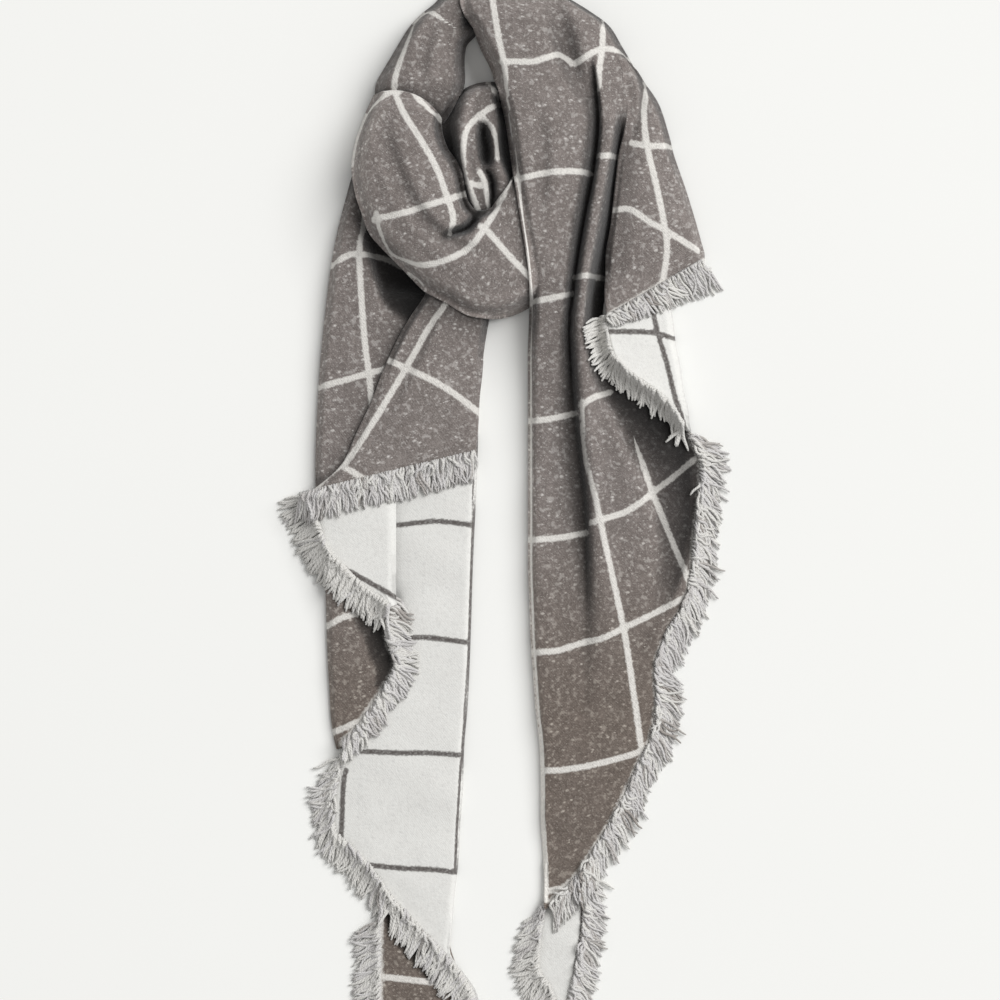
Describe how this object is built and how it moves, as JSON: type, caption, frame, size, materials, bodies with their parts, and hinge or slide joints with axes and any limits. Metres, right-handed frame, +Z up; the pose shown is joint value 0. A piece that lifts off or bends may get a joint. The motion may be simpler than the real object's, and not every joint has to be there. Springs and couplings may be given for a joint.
{
  "type": "blanket scarf",
  "caption": "Double-faced windowpane blanket scarf laid flat, looped through its own knot at the neck, with two pleated tails and fringed hems.",
  "frame": {"origin": "middle of the scarf's outline on the surface that it lies on", "axes": "+Y from the tails up to the neck loop, +X to the right seen from above, +Z up from the surface"},
  "size_m": [0.3587, 0.8936, 0.0574],
  "materials": {
    "cloth_grey": "taupe-grey woollen face with pale flecks and cream windowpane lines",
    "cloth_cream": "cream woollen face with faint grey flecks and dark grey windowpane lines",
    "fringe": "loose twisted yarn, cream and grey mixed"
  },
  "bodies": {
    "root": {"knot_heart": "cloth_grey", "left_tail_heart": "cloth_cream", "right_tail_heart": "cloth_grey", "left_tail_tip": "cloth_grey", "left_tail_long": "cloth_cream", "left_tail_outer": "cloth_grey", "left_tail_pleat": "cloth_cream", "left_tail_front": "cloth_grey", "right_tail_tip": "cloth_cream", "knot_core": "cloth_grey", "neck_loop": "cloth_grey", "knot_wrap": "cloth_grey", "right_tail_front": "cloth_grey", "right_tail_turn": "cloth_cream", "right_tail_flap": "cloth_grey", "fringe_left_tip": "fringe", "fringe_left_tip_end": "fringe", "fringe_left_long": "fringe", "fringe_left_outer": "fringe", "fringe_left_pleat": "fringe", "fringe_left_front": "fringe", "fringe_right_tip_inner": "fringe", "fringe_right_tip_outer": "fringe", "fringe_right_front": "fringe", "fringe_right_turn": "fringe", "fringe_right_flap": "fringe"}
  },
  "joints": []
}
